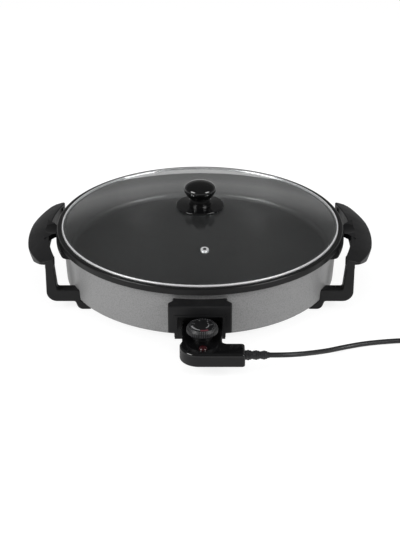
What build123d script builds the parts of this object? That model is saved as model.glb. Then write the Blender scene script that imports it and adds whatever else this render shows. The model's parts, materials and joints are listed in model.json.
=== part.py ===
from build123d import *
import os
from math import ceil, cos, pi, radians, sin, sqrt, tan

# Electric grill pan, in millimetres: origin on the table under the pan's axis, front towards -Y, +Z up

# Clearances shared by all pieces
cut_overrun = 5.0
seat_gap = 0.3
snug_gap = 0.05
slip_gap = 0.1

# Casing
stand_height = 13.0
casing_top_radius = 199.0
casing_taper = 4.0
casing_sheet = 1.2
casing_flange = 19.0
casing_bend = 4.0

# Cooking dish
floor_height = 46.0
floor_thickness = 3.0
dish_sheet = 2.5
dish_depth = 45.0
dish_gap = 1.3
wall_taper = 5.0
floor_corner_radius = 8.0
lid_seat_depth = 4.5
rim_overhang = 8.5
rim_width = 6.5
rim_band = 9.5
rim_bend = 2.4

# Lid
lid_gap = 0.7
lid_rim_height = 5.7
lid_rim_sheet = 0.6
lid_rim_lip = 1.3
glass_thickness = 4.0
glass_rise = 26.5
glass_brim = 4.0
vent_circle_radius = 122.5
vent_angle = -87.0
vent_hole_radius = 2.1
eyelet_tube_radius = 4.2
eyelet_flange_radius = 5.6
eyelet_lip = 0.8

# Lid knob
knob_screw_radius = 2.0
knob_screw_head_radius = 4.2
knob_screw_head_height = 2.6
gasket_radius = 30.0
gasket_thickness = 1.0
washer_radius = 11.0
washer_thickness = 1.2
knob_flange_radius = 34.7
knob_flange_edge = 2.5
knob_flange_height = 4.0
knob_collar_radius = 17.0
knob_neck_radius = 14.6
knob_cap_radius = 23.0
knob_height = 32.5
insert_radius = 4.0
insert_length = 15.0

# Heater under the dish
element_inset = 59.0
element_tube_radius = 4.0
element_bend_radius = 14.0
element_offset_bend = 12.0
clamp_reach = 52.0
clamp_margin = 16.0
clamp_sheet = 1.5
clamp_notch = 26.0
stud_inset = 14.0
stud_radius = 2.5
stud_count = 4
nut_width = 8.0
nut_height = 4.0
base_plate_gap = 3.5
base_plate_sheet = 1.2

# Mains connection at the front
pin_height = 30.0
pin_spacing = 36.0
pin_radius = 2.4
pin_reach = 16.0
probe_radius = 3.0
probe_reach = 70.0
well_width = 18.0
well_length = 46.0
well_drop = 5.0
well_gap = 3.0
block_width = 50.0
block_height = 15.0
block_depth = 23.0
block_foot_depth = 8.0

# Socket guard
guard_width = 86.0
guard_root_width = 74.0
guard_depth = 20.0
guard_flare_depth = 12.0
guard_skirt = 40.0
guard_brow = 13.8
guard_plate_drop = 3.0
collar_width = 69.0
collar_reach = 1.0
collar_wall = 4.0
collar_roof = 2.2
collar_drop = 5.0
mouth_rise = 25.0
guard_round = 2.5
guard_screw_spread = 76.0
guard_screw_rise = 16.0

# Handles
grip_half_span = 97.0
grip_gap = 11.5
grip_bow = 17.0
grip_depth = 31.0
grip_thickness = 30.0
grip_ridge_drop = 7.0
grip_widest_drop = 14.0
grip_crown_inset = 18.0
grip_crown_drop = 6.0
grip_heel_inset = 10.0
grip_belly_radius = 285.0
grip_edge_round = 1.5
tip_round_share = 0.25
grip_corner_share = 0.65
grip_tip_share = 0.25
grip_plan_margin = 1.0
grip_end_taper = 9.0
scoop_radius = 60.0
scoop_inset = 9.0
scoop_drop = 2.0
scoop_slope = 7.0
web_lift = 4.5
web_grip_width = 64.0
web_wall_width = 26.0
web_overlap = 5.0
pad_proud = 1.5
pad_height = 12.5
pad_inset = 21.0
pad_end_round = 16.0

# Legs
leg_gap = 3.0
leg_width = 15.5
leg_lean = 3.5
leg_depth = 17.0
leg_rise = 11.0
leg_corner = 15.0
strap_height = 18.0
foot_inset = 18.0
foot_length = 26.0
foot_round = 9.0
foot_toe_round = 7.0
leg_edge_round = 2.0
leg_inner_round = 3.0

# Screws of handles, legs and guard
screw_radius = 2.0
screw_head_radius = 3.8
screw_head_height = 2.4
screw_bite = 9.0
leg_screw_inset = 10.0
leg_screw_well = 5.0
grip_screw_shank = 21.0

# Thermostat housing
plug_drop = 11.5
plug_rise = 7.5
plug_lid_height = 3.9
plug_wall = 2.0
plug_gap = 2.0
trunk_left = 24.0
trunk_right = 29.5
trunk_length = 56.5
arm_depth = 31.5
arm_left = 27.0
arm_right = 59.0
plug_corner_radius = 26.0
plug_small_round = 4.0
plug_notch_round = 7.0
plug_edge_round = 3.2
flare_inset = 6.5
flare_length = 8.0
boss_radius = 3.6
boss_inset = 8.0
cover_screw_radius = 1.5
cover_screw_head_radius = 2.8
cover_screw_head_height = 1.6
socket_wall = 1.1
socket_length = 18.0
socket_sleeve_gap = 0.06
carrier_length = 27.0
carrier_inset = 1.0
blade_thickness = 0.8
blade_width = 6.0
fixed_blade_x = 10.0
bimetal_x = -8.0
bimetal_post_height = 5.5
bimetal_length = 36.0
lamp_radius = 2.4
lens_radius = 4.4
lens_flange_radius = 5.6
lens_rise = 4.2
lens_x = 4.0
lens_inset = 16.5

# Dial
dial_x = 3.0
dial_inset = 40.5
dial_radius = 20.8
dial_height = 9.3
dial_neck_radius = 14.0
dial_neck_height = 8.4
dial_gap = 0.4
dial_round = 1.2
dial_bevel = 3.0
dial_bevel_drop = 4.0
dial_groove = 0.8
dial_groove_count = 3
spindle_radius = 3.0
spindle_drop = 9.0
spindle_collar_radius = 5.0
spindle_collar_height = 2.0
spindle_grip = 12.0

# Lead
cord_radius = 3.5
bend_share = 0.45
relief_length = 32.0
relief_root_radius = 6.4
relief_end_radius = 5.0
relief_groove = 1.1
relief_rib_count = 6
relief_lug_radius = 5.9
relief_lug_length = 2.4
relief_drop = 2.0
relief_inset = 15.5
coil_x = 335.0
coil_y = -150.0
coil_outer_radius = 42.5
coil_turn_pitch = 7.8
coil_layer_turn_share = 1.375
coil_layer_height = 7.6
tie_sheet = 0.6
tie_width = 9.0
tie_angle = 135.0
mains_plug_length = 40.0
mains_plug_width = 34.0
mains_plug_height = 24.0
mains_plug_round = 9.0
mains_neck_length = 34.0
mains_neck_radius = 7.0
mains_neck_wall = 0.5
mains_pin_radius = 2.4
mains_pin_length = 19.0
mains_pin_spacing = 19.0
mains_pin_root_radius = 1.8
mains_pin_root_length = 10.0

# Places worked out from the sizes above
casing_foot_radius = casing_top_radius - casing_taper
floor_underside = floor_height - floor_thickness
rim_height = floor_height + dish_depth
rim_radius = casing_top_radius + rim_overhang
lid_seat_height = rim_height - lid_seat_depth
lid_seat_radius = rim_radius - rim_width
wall_top_radius = casing_top_radius - casing_sheet - dish_gap - dish_sheet
wall_foot_radius = wall_top_radius - wall_taper
casing_top = lid_seat_height - dish_sheet
flange_top = stand_height + casing_sheet
base_top = flange_top + base_plate_sheet
base_plate_radius = casing_foot_radius - casing_sheet - base_plate_gap
lid_rim_radius = lid_seat_radius - lid_gap
lid_rim_bottom = lid_seat_height + seat_gap
lid_rim_top = lid_rim_bottom + lid_rim_height
glass_edge_radius = lid_rim_radius - lid_rim_sheet - slip_gap
glass_brim_top = (lid_rim_bottom + lid_rim_top + glass_thickness) / 2
glass_apex = glass_brim_top + glass_rise
dome_edge_radius = glass_edge_radius - glass_brim
dome_radius = (dome_edge_radius**2 + glass_rise**2) / (2 * glass_rise)
element_ring_radius = wall_foot_radius - element_inset
clamp_inner_radius = element_ring_radius - clamp_reach
clamp_outer_radius = element_ring_radius + clamp_margin
stud_circle_radius = clamp_inner_radius + stud_inset
element_height = floor_underside - slip_gap - element_tube_radius
clamp_top = element_height - element_tube_radius - slip_gap
clamp_bottom = clamp_top - clamp_sheet
pin_x = pin_spacing / 2
guard_back = casing_top_radius
guard_reach = guard_back + guard_depth
guard_plate_bottom = stand_height - guard_plate_drop
guard_screw_height = pin_height + guard_screw_rise
collar_bottom = pin_height - collar_drop
mouth_top = pin_height + mouth_rise
collar_top = mouth_top + collar_roof
guard_top = collar_top + guard_brow
block_front = -guard_back - seat_gap
block_rear = block_front + block_depth
block_bottom = pin_height - block_height / 2
well_front = block_rear + well_gap
grip_inner_reach = rim_radius + grip_gap
grip_inner_end = grip_inner_reach - grip_bow
grip_outer_radius = grip_inner_reach + grip_depth
grip_crown_radius = grip_outer_radius - grip_crown_inset
grip_heel_radius = grip_outer_radius - grip_heel_inset
grip_ridge_height = rim_height - grip_ridge_drop
grip_widest_height = grip_ridge_height - grip_widest_drop
grip_crown_height = grip_ridge_height - grip_crown_drop
grip_belly_height = grip_ridge_height - grip_thickness
scoop_top_reach = grip_outer_radius - scoop_inset
scoop_top_height = grip_ridge_height - scoop_drop
pad_radius = rim_radius + pad_proud
pad_bottom = rim_height - rim_band - pad_height
pad_half_span = grip_half_span - pad_inset
web_bottom = pad_bottom + web_lift
leg_y = grip_half_span - leg_depth / 2
leg_inner_reach = casing_top_radius + leg_gap
leg_top = grip_belly_height + leg_rise
leg_lean_reach = leg_inner_reach + leg_lean
leg_outer_reach = leg_inner_reach + leg_width
leg_bolt_reach = (leg_lean_reach + leg_outer_reach) / 2
foot_outer_reach = casing_foot_radius - foot_inset
foot_inner_reach = foot_outer_reach - foot_length
leg_screw_reach = foot_inner_reach + leg_screw_inset
grip_screw_head_height = leg_top - grip_screw_shank
strap_top = stand_height + strap_height
plug_bottom = pin_height - plug_drop
plug_top = pin_height + plug_rise
plug_parting = plug_top - plug_lid_height
plug_rear = guard_back + plug_gap
arm_back = plug_rear + trunk_length
arm_front = arm_back + arm_depth
flare_start = arm_back - flare_inset
lens_back = arm_back + lens_inset
relief_back = arm_back + relief_inset
relief_height = pin_height - relief_drop
relief_tip_x = arm_right + relief_length
dial_back = plug_rear + dial_inset
dial_bottom = plug_top + dial_gap
dial_body_bottom = dial_bottom + dial_neck_height
dial_top = dial_body_bottom + dial_height
cavity_floor = plug_bottom + plug_wall
cord_diameter = 2 * cord_radius
socket_bore = pin_radius + socket_sleeve_gap
socket_radius = socket_bore + socket_wall
carrier_top = pin_height - socket_radius - snug_gap
coil_base = cord_radius + tie_sheet + seat_gap
coil_inner_radius = coil_outer_radius - coil_turn_pitch * (coil_layer_turn_share + 1 / 4)
coil_top = coil_base + coil_layer_height


def casing_radius(height):
    share = (height - stand_height) / (casing_top - stand_height)
    return casing_foot_radius + share * (casing_top_radius - casing_foot_radius)


def dome_height(radius):
    return glass_apex - dome_radius + sqrt(dome_radius**2 - radius**2)


# Corners are (across, up) or (across, up, rounding)
def outline(corners):
    points = [corner[:2] for corner in corners]
    rounds = [corner[2] if len(corner) > 2 else 0 for corner in corners]
    return make_face(FilletPolyline(*points, radius=rounds, close=True))


def turned(corners, arc=360):
    return revolve(Plane.XZ * outline(corners), axis=Axis.Z, revolution_arc=arc)


def prism(corners, low, high):
    return extrude(Plane.XY.offset(low) * outline(corners), amount=high - low)


def block(x, y, z):
    sides = [high - low for low, high in (x, y, z)]
    middle = [(high + low) / 2 for low, high in (x, y, z)]
    return Pos(*middle) * Box(*sides)


def rod(start, end, radius):
    along = Vector(*end) - Vector(*start)
    return extrude(Plane(origin=start, z_dir=along) * Circle(radius), amount=along.length)


def screw(seat, tip):
    along = (Vector(*tip) - Vector(*seat)).normalized()
    head_end = Vector(*seat) - along * screw_head_height
    return rod(seat, tip, screw_radius) + rod(tuple(head_end), seat, screw_head_radius)


def hex_nut(x, y, low, bore):
    ring = RegularPolygon(nut_width / 2, 6, major_radius=False) - Circle(bore + snug_gap)
    return Pos(x, y, low) * extrude(ring, amount=nut_height)


# The casing's outside, grown by a gap, from a chosen height up to the dish, for what fits round it
def casing_room(gap, low):
    return turned([
        (0, low),
        (casing_radius(low) + gap, low),
        (casing_radius(casing_top) + gap, casing_top),
        (0, casing_top),
    ])


def make_cooking_dish():
    return turned([
        (0, floor_height),
        (wall_foot_radius, floor_height, floor_corner_radius),
        (wall_top_radius, lid_seat_height),
        (lid_seat_radius, lid_seat_height),
        (lid_seat_radius, rim_height, dish_sheet / 3),
        (rim_radius, rim_height, rim_bend),
        (rim_radius, rim_height - rim_band),
        (rim_radius - dish_sheet, rim_height - rim_band),
        (rim_radius - dish_sheet, rim_height - dish_sheet),
        (lid_seat_radius + dish_sheet, rim_height - dish_sheet),
        (lid_seat_radius + dish_sheet, casing_top),
        (wall_top_radius + dish_sheet, casing_top),
        (wall_foot_radius + dish_sheet, floor_underside, floor_corner_radius + dish_sheet),
        (0, floor_underside),
    ])


def leg_screw_places():
    return [(x * leg_screw_reach, y * leg_y) for x in (-1, 1) for y in (-1, 1)]


def leg_screw_holes():
    top = base_top + cut_overrun
    return [rod((x, y, 0), (x, y, top), screw_radius + slip_gap) for x, y in leg_screw_places()]


def stud_places():
    angles = [360 / stud_count * (i + 1 / 2) for i in range(stud_count)]
    return [Vector(stud_circle_radius, 0).rotate(Axis.Z, angle) for angle in angles]


def stud_holes():
    return [rod((at.X, at.Y, 0), (at.X, at.Y, floor_height), stud_radius + slip_gap) for at in stud_places()]


def make_outer_casing():
    shell = turned([
        (casing_foot_radius - casing_flange, stand_height),
        (casing_foot_radius, stand_height, casing_bend),
        (casing_top_radius, casing_top),
        (casing_top_radius - casing_sheet, casing_top),
        (casing_foot_radius - casing_sheet, flange_top, casing_bend - casing_sheet),
        (casing_foot_radius - casing_flange, flange_top),
    ])
    half = block_width / 2 + 2 * seat_gap
    outside = casing_top_radius + cut_overrun
    shell -= block(
        (-half, half),
        (-outside, -casing_foot_radius + casing_flange),
        (block_bottom - 2 * seat_gap, block_bottom + block_height + 2 * seat_gap),
    )
    hole = screw_radius + slip_gap
    for x in (-guard_screw_spread / 2, guard_screw_spread / 2):
        shell -= rod((x, -outside, guard_screw_height), (x, 0, guard_screw_height), hole)
    return shell - leg_screw_holes()


def make_base_plate():
    plate = Pos(0, 0, flange_top) * extrude(Circle(base_plate_radius), amount=base_plate_sheet)
    return plate - stud_holes() - leg_screw_holes()


# One tube: cold end, rise, bend into the ring, round the back and out again
def make_heating_element():
    centre_x = pin_x + element_bend_radius
    centre_y = -sqrt((element_ring_radius + element_bend_radius)**2 - centre_x**2)
    centre = Vector(centre_x, centre_y, element_height)
    ring_share = element_ring_radius / (element_ring_radius + element_bend_radius)
    join = Vector(centre_x * ring_share, centre_y * ring_share, element_height)
    bend_start = Vector(pin_x, centre_y, element_height)
    middle = ((bend_start - centre).normalized() + (join - centre).normalized()).normalized()
    cold_start = block_rear - block_depth / 3
    side = FilletPolyline(
        (pin_x, cold_start, pin_height),
        (pin_x, block_rear + 2 * element_tube_radius, pin_height),
        (pin_x, centre_y - 2 * element_tube_radius, element_height),
        bend_start,
        radius=element_offset_bend,
    )
    bend = ThreePointArc(bend_start, centre + middle * element_bend_radius, join)
    ring = ThreePointArc(join, (0, element_ring_radius, element_height), (-join.X, join.Y, join.Z))
    half_path = side.edges() + bend.edges()
    path = Wire(half_path + ring.edges() + [edge.mirror(Plane.YZ) for edge in half_path])
    return sweep(Plane(origin=path @ 0, z_dir=path % 0) * Circle(element_tube_radius), path=path)


def make_clamp_plate():
    ring = Circle(clamp_outer_radius) - Circle(clamp_inner_radius)
    plate = Pos(0, 0, clamp_bottom) * extrude(ring, amount=clamp_sheet)
    half = clamp_notch / 2
    plate -= block(
        (-half, half),
        (-clamp_outer_radius - cut_overrun, well_front + well_length + cut_overrun),
        (clamp_bottom - cut_overrun, clamp_top + cut_overrun),
    )
    return plate - stud_holes()


def make_dish_studs():
    low = flange_top - nut_height - stud_radius / 2
    return [rod((at.X, at.Y, low), (at.X, at.Y, floor_underside), stud_radius) for at in stud_places()]


def make_probe_well():
    half = well_width / 2
    lug = block(
        (-half, half),
        (well_front, well_front + well_length),
        (pin_height - well_drop, floor_underside),
    )
    mouth = (0, well_front - cut_overrun, pin_height)
    deep = (0, -plug_rear + probe_reach + 2 * seat_gap, pin_height)
    return lug - rod(mouth, deep, probe_radius + seat_gap)


def make_terminal_block():
    half = block_width / 2
    pin_end = block_rear - block_depth / 3
    front = block_front - cut_overrun
    body = block((-half, half), (block_front, block_rear), (block_bottom, block_bottom + block_height))
    body += block((-half, half), (block_rear - block_foot_depth, block_rear), (base_top, block_bottom))
    for x in (-pin_x, pin_x):
        body -= rod((x, front, pin_height), (x, pin_end, pin_height), pin_radius + snug_gap)
        body -= rod((x, pin_end, pin_height), (x, 0, pin_height), element_tube_radius + snug_gap)
    return body - rod((0, front, pin_height), (0, 0, pin_height), probe_radius + seat_gap)


def make_terminal_pins():
    pins = []
    for x in (-pin_x, pin_x):
        tip = (x, -plug_rear - pin_reach, pin_height)
        pin = rod(tip, (x, block_rear - block_depth / 3, pin_height), pin_radius)
        nose = pin.edges().filter_by(GeomType.CIRCLE).sort_by(Axis.Y)[0]
        pins.append(chamfer(nose, pin_radius / 3))
    return pins


def make_socket_guard():
    half = guard_width / 2
    root = guard_root_width / 2
    inside = -casing_foot_radius + casing_flange
    flare = -guard_reach + guard_flare_depth
    hood = prism(
        [
            (-root, inside),
            (root, inside),
            (root, flare + guard_flare_depth / 2),
            (half, flare),
            (half, -guard_reach, guard_round),
            (-half, -guard_reach, guard_round),
            (-half, flare),
            (-root, flare + guard_flare_depth / 2),
        ],
        guard_top - guard_skirt,
        guard_top,
    )
    hood = fillet(hood.faces().sort_by(Axis.Z)[-1].edges().sort_by(Axis.Y)[:-1], guard_round)
    collar_half = collar_width / 2
    front = -guard_reach - collar_reach
    collar = block((-collar_half, collar_half), (front, inside), (collar_bottom, collar_top))
    collar = fillet(collar.edges().filter_by(Axis.Y).sort_by(Axis.Z)[-2:], guard_round / 2)
    plate = block((-collar_half, collar_half), (-guard_back, inside), (guard_plate_bottom, collar_top))
    mouth = collar_half - collar_wall
    guard = hood + collar + plate
    guard -= block((-mouth, mouth), (front - cut_overrun, -guard_back), (0, mouth_top))
    window = block_width / 2 + seat_gap
    guard -= block(
        (-window, window),
        (-guard_back - cut_overrun, 0),
        (block_bottom - seat_gap, block_bottom + block_height + seat_gap),
    )
    guard -= casing_room(seat_gap, 0)
    for x in (-guard_screw_spread / 2, guard_screw_spread / 2):
        tip = -casing_radius(guard_screw_height) - screw_bite - seat_gap
        guard -= rod((x, 0, guard_screw_height), (x, tip, guard_screw_height), screw_radius + snug_gap)
    return guard


# A screw whose head seats flat on the inside of the curved casing, at a sideways offset from its middle
def casing_screw(height, offset):
    wall = casing_radius(height - screw_head_radius) - casing_sheet
    seat = sqrt(wall**2 - (abs(offset) + screw_head_radius)**2) - snug_gap
    tip = casing_radius(height) + screw_bite
    return screw((seat, offset, height), (tip, offset, height))


def make_guard_screws():
    offsets = (-guard_screw_spread / 2, guard_screw_spread / 2)
    return [Rot(0, 0, -90) * casing_screw(guard_screw_height, offset) for offset in offsets]


# The crescent itself: a turned ring section, cut to its plan outline and to a belly that rises to both ends
def grip_crescent():
    crown = ThreePointArc(
        (grip_outer_radius, grip_widest_height),
        (grip_crown_radius, grip_crown_height),
        (grip_inner_end, grip_ridge_height),
    )
    inner = casing_foot_radius
    low = grip_belly_height - cut_overrun
    heel = Polyline(
        (grip_inner_end, grip_ridge_height),
        (inner, grip_ridge_height),
        (inner, low),
        (grip_heel_radius, low),
        (grip_outer_radius, grip_widest_height),
    )
    ring = revolve(Plane.XZ * make_face(crown.edges() + heel.edges()), axis=Axis.Z, revolution_arc=180)
    ring = Rot(0, 0, -90) * ring
    outer = grip_outer_radius + grip_plan_margin
    end_x = sqrt(outer**2 - grip_half_span**2) - grip_end_taper
    inner_side = ThreePointArc(
        (grip_inner_end, -grip_half_span), (grip_inner_reach, 0), (grip_inner_end, grip_half_span)
    )
    outer_side = ThreePointArc((end_x, grip_half_span), (outer, 0), (end_x, -grip_half_span))
    ends = [
        Line((grip_inner_end, y), (end_x, y)).edge()
        for y in (-grip_half_span, grip_half_span)
    ]
    plan = make_face(inner_side.edges() + outer_side.edges() + ends)
    end_width = end_x - grip_inner_end
    plan = fillet(plan.vertices().sort_by(Axis.X)[2:], grip_corner_share * end_width)
    plan = fillet(plan.vertices().sort_by(Axis.X)[:2], grip_tip_share * end_width)
    slab = Pos(0, 0, low) * extrude(plan, amount=grip_ridge_height)
    belly_axis = grip_belly_height + grip_belly_radius
    belly = rod((0, 0, belly_axis), (outer + cut_overrun, 0, belly_axis), grip_belly_radius)
    crescent = ring & slab & belly
    tip_wall = min(edge.length for edge in crescent.edges())
    return fillet(crescent.edges(), min(grip_edge_round, tip_round_share * tip_wall))


def grip_pad():
    top = rim_height - rim_band - seat_gap
    pad = turned(
        [
            (casing_radius(pad_bottom) + seat_gap, pad_bottom),
            (pad_radius, pad_bottom, guard_round),
            (pad_radius, top, guard_round / 2),
            (casing_radius(top) + seat_gap, top),
        ],
        arc=180,
    )
    reach = sqrt(pad_radius**2 - pad_half_span**2)
    return Rot(0, 0, -90) * pad & prism(
        [
            (0, -pad_half_span),
            (reach, -pad_half_span, pad_end_round),
            (pad_radius + cut_overrun, -web_grip_width / 2),
            (pad_radius + cut_overrun, web_grip_width / 2),
            (reach, pad_half_span, pad_end_round),
            (0, pad_half_span),
        ],
        0,
        rim_height,
    )


def grip_web():
    wide = web_grip_width / 2
    slim = web_wall_width / 2
    grip_side = grip_inner_reach + web_overlap
    web = prism(
        [
            (casing_foot_radius, -slim),
            (pad_radius, -slim, leg_inner_round),
            (grip_side, -wide),
            (grip_side, wide),
            (pad_radius, slim, leg_inner_round),
            (casing_foot_radius, slim),
        ],
        web_bottom,
        rim_height - rim_band - seat_gap,
    )
    return web - casing_room(seat_gap, 0)


# A wide round groove that slopes down from the grip's ridge to the web
def grip_scoop():
    slope = radians(scoop_slope)
    lean = Vector(-cos(slope), 0, -sin(slope))
    lift = Vector(-sin(slope), 0, cos(slope)) * scoop_radius
    start = Vector(scoop_top_reach, 0, scoop_top_height) + lift - lean * scoop_radius
    end = start + lean * (scoop_radius + scoop_top_reach - casing_foot_radius)
    return rod(tuple(start), tuple(end), scoop_radius) & block(
        (pad_radius, grip_outer_radius + cut_overrun),
        (-grip_half_span, grip_half_span),
        (0, grip_ridge_height + scoop_radius),
    )


def make_right_grip():
    grip = grip_crescent() + grip_web() + grip_pad() - grip_scoop()
    sides = (leg_lean_reach, leg_outer_reach)
    bolt_end = leg_top + screw_bite + seat_gap
    for y in (-leg_y, leg_y):
        ends = (y - leg_depth / 2, y + leg_depth / 2)
        grip += block(sides, ends, (leg_top, leg_top + screw_bite + screw_radius))
        grip -= block((leg_inner_reach, leg_outer_reach), ends, (0, leg_top))
        grip -= rod((leg_bolt_reach, y, 0), (leg_bolt_reach, y, bolt_end), screw_radius + snug_gap)
    return grip


# The rear right leg: upright, strap and foot in one bent bar
def make_leg():
    strap_bottom = stand_height - seat_gap
    profile = [
        (leg_lean_reach, leg_top),
        (leg_outer_reach, leg_top),
        (leg_outer_reach, strap_bottom, leg_corner),
        (foot_outer_reach, strap_bottom, leg_inner_round),
        (foot_outer_reach - foot_round / 2, 0, foot_round),
        (foot_inner_reach, 0, foot_toe_round),
        (foot_inner_reach, strap_top),
        (leg_inner_reach, strap_top, leg_inner_round),
    ]
    bar = Pos(0, grip_half_span, 0) * extrude(Plane.XZ * outline(profile), amount=leg_depth)
    rims = bar.faces().filter_by(Axis.Y).edges()
    bar = fillet([edge for edge in rims if edge.center().Z < leg_top - snug_gap], leg_edge_round)
    bar -= casing_room(seat_gap, strap_bottom)
    bolt_foot = (leg_bolt_reach, leg_y, 0)
    bar -= rod(bolt_foot, (leg_bolt_reach, leg_y, leg_top + cut_overrun), screw_radius + slip_gap)
    well = screw_head_radius + seat_gap
    bar -= rod(bolt_foot, (leg_bolt_reach, leg_y, grip_screw_head_height), well)
    bar -= rod((leg_screw_reach, leg_y, 0), (leg_screw_reach, leg_y, base_top), screw_radius + slip_gap)
    bar -= rod((leg_screw_reach, leg_y, 0), (leg_screw_reach, leg_y, leg_screw_well), well)
    return bar


def make_grip_screws():
    x = leg_bolt_reach
    return [
        screw((side * x, end * leg_y, grip_screw_head_height), (side * x, end * leg_y, leg_top + screw_bite))
        for side in (-1, 1)
        for end in (-1, 1)
    ]


def make_leg_screws():
    tip = base_top + nut_height + screw_radius
    return [screw((x, y, leg_screw_well), (x, y, tip)) for x, y in leg_screw_places()]


def make_lid_rim():
    inner = lid_rim_radius - lid_rim_sheet - lid_rim_lip
    wall = lid_rim_radius - lid_rim_sheet
    crest = lid_rim_radius - 2 * lid_rim_sheet
    shoulder = lid_rim_top - 2 * lid_rim_sheet
    ankle = lid_rim_bottom + lid_rim_sheet
    inside = Polyline(
        (crest, lid_rim_top),
        (inner, lid_rim_top),
        (inner, lid_rim_top - lid_rim_sheet),
        (wall, lid_rim_top - lid_rim_sheet),
        (wall, ankle),
        (inner, ankle),
        (inner, lid_rim_bottom),
        (wall, lid_rim_bottom),
    )
    foot_bend = Bezier((wall, lid_rim_bottom), (lid_rim_radius, lid_rim_bottom), (lid_rim_radius, ankle))
    side = Line((lid_rim_radius, ankle), (lid_rim_radius, shoulder))
    top_bend = Bezier((lid_rim_radius, shoulder), (lid_rim_radius, lid_rim_top), (crest, lid_rim_top))
    return revolve(Plane.XZ * make_face([inside, foot_bend, side, top_bend]), axis=Axis.Z)


def vent_plane():
    radius = vent_circle_radius
    outward = Vector(radius, 0, sqrt(dome_radius**2 - radius**2)).normalized()
    place = Vector(radius, 0, dome_height(radius)) - outward * glass_thickness / 2
    return Plane(
        origin=place.rotate(Axis.Z, vent_angle),
        z_dir=outward.rotate(Axis.Z, vent_angle),
    )


def make_lid_glass():
    half_way = dome_edge_radius / 2
    top = Vector(0, glass_thickness)
    low_middle = Vector(half_way, dome_height(half_way) - glass_thickness)
    low_apex = Vector(0, glass_apex - glass_thickness)
    low_edge = Vector(dome_edge_radius, glass_brim_top - glass_thickness)
    under = ThreePointArc(low_apex, low_middle, low_edge)
    over = ThreePointArc(low_apex + top, low_middle + top, low_edge + top)
    brim = Polyline(
        low_edge,
        (glass_edge_radius, glass_brim_top - glass_thickness),
        (glass_edge_radius, glass_brim_top),
        low_edge + top,
    )
    core = Line(low_apex, low_apex + top)
    section = make_face(under.edges() + over.edges() + brim.edges() + core.edges())
    dome = revolve(Plane.XZ * section, axis=Axis.Z)
    dome -= rod((0, 0, 0), (0, 0, glass_apex + cut_overrun), knob_screw_radius + seat_gap)
    vent = vent_plane() * Circle(eyelet_tube_radius + slip_gap)
    return dome - extrude(vent, amount=glass_thickness, both=True)


def make_vent_eyelet():
    seat = glass_thickness / 2 + snug_gap
    lip = seat + eyelet_lip
    grommet = turned([
        (vent_hole_radius, -lip, eyelet_lip / 4),
        (eyelet_flange_radius, -lip, eyelet_lip / 2),
        (eyelet_flange_radius, -seat),
        (eyelet_tube_radius, -seat),
        (eyelet_tube_radius, seat),
        (eyelet_flange_radius, seat),
        (eyelet_flange_radius, lip, eyelet_lip / 2),
        (vent_hole_radius, lip, eyelet_lip / 2),
    ])
    return vent_plane().location * grommet


gasket_bottom = glass_apex + snug_gap
flange_bottom = gasket_bottom + gasket_thickness
knob_bottom = flange_bottom + knob_flange_height
washer_top = dome_height(washer_radius) - glass_thickness - snug_gap


def make_knob_gasket():
    ring = Circle(gasket_radius) - Circle(knob_screw_radius + seat_gap)
    return Pos(0, 0, gasket_bottom) * extrude(ring, amount=gasket_thickness)


def make_knob_flange():
    return turned([
        (knob_screw_radius + seat_gap, flange_bottom),
        (gasket_radius + seat_gap, flange_bottom),
        (gasket_radius + seat_gap, gasket_bottom),
        (knob_flange_radius, gasket_bottom, knob_flange_edge / 4),
        (knob_flange_radius, gasket_bottom + knob_flange_edge, knob_flange_edge / 2),
        (knob_collar_radius, knob_bottom - knob_flange_edge / 2, knob_flange_edge / 4),
        (knob_collar_radius, knob_bottom),
        (knob_screw_radius + seat_gap, knob_bottom),
    ])


# Heights of the knob are shares of its own height, measured up from its foot
def make_lid_knob():
    height_shares = (0.05, 0.08, 0.1, 0.12, 0.155, 0.2, 0.575, 2 / 3)
    foot, waist, ring_low, ring_start, ring_end, cone_start, shoulder, widest = [
        knob_bottom + share * knob_height for share in height_shares
    ]
    ring_radius = (knob_collar_radius + knob_neck_radius) / 2
    top = knob_bottom + knob_height
    bore = insert_radius + snug_gap
    bore_top = knob_bottom + insert_length + snug_gap
    cone_share = 0.86
    cone_radius = knob_neck_radius + (knob_cap_radius - knob_neck_radius) * cone_share
    cone_end = cone_start + (shoulder - cone_start) * cone_share
    stem = Polyline(
        (0, top),
        (0, bore_top),
        (bore, bore_top),
        (bore, knob_bottom),
        (ring_radius, knob_bottom),
        (ring_radius, foot),
        (knob_neck_radius, waist),
        (knob_neck_radius, ring_low),
        (ring_radius, ring_start),
        (ring_radius, ring_end),
        (knob_neck_radius, cone_start),
        (cone_radius, cone_end),
    )
    bend = Bezier((cone_radius, cone_end), (knob_cap_radius, shoulder), (knob_cap_radius, widest))
    crown_share = 0.5523
    crown = Bezier(
        (knob_cap_radius, widest),
        (knob_cap_radius, widest + (top - widest) * crown_share),
        (knob_cap_radius * crown_share, top),
        (0, top),
    )
    return revolve(Plane.XZ * make_face(stem.edges() + bend.edges() + crown.edges()), axis=Axis.Z)


def make_knob_insert():
    return turned([
        (knob_screw_radius + snug_gap, knob_bottom),
        (insert_radius, knob_bottom),
        (insert_radius, knob_bottom + insert_length),
        (knob_screw_radius + snug_gap, knob_bottom + insert_length),
    ])


def make_knob_washer():
    ring = Circle(washer_radius) - Circle(knob_screw_radius + slip_gap)
    return Pos(0, 0, washer_top - washer_thickness) * extrude(ring, amount=washer_thickness)


def make_knob_screw():
    seat = washer_top - washer_thickness
    shank = rod((0, 0, seat), (0, 0, knob_bottom + insert_length * 3 / 4), knob_screw_radius)
    head = rod((0, 0, seat - knob_screw_head_height), (0, 0, seat), knob_screw_head_radius)
    rim = head.edges().filter_by(GeomType.CIRCLE).sort_by(Axis.Z)[0]
    return shank + fillet(rim, knob_screw_head_height / 2)


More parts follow.
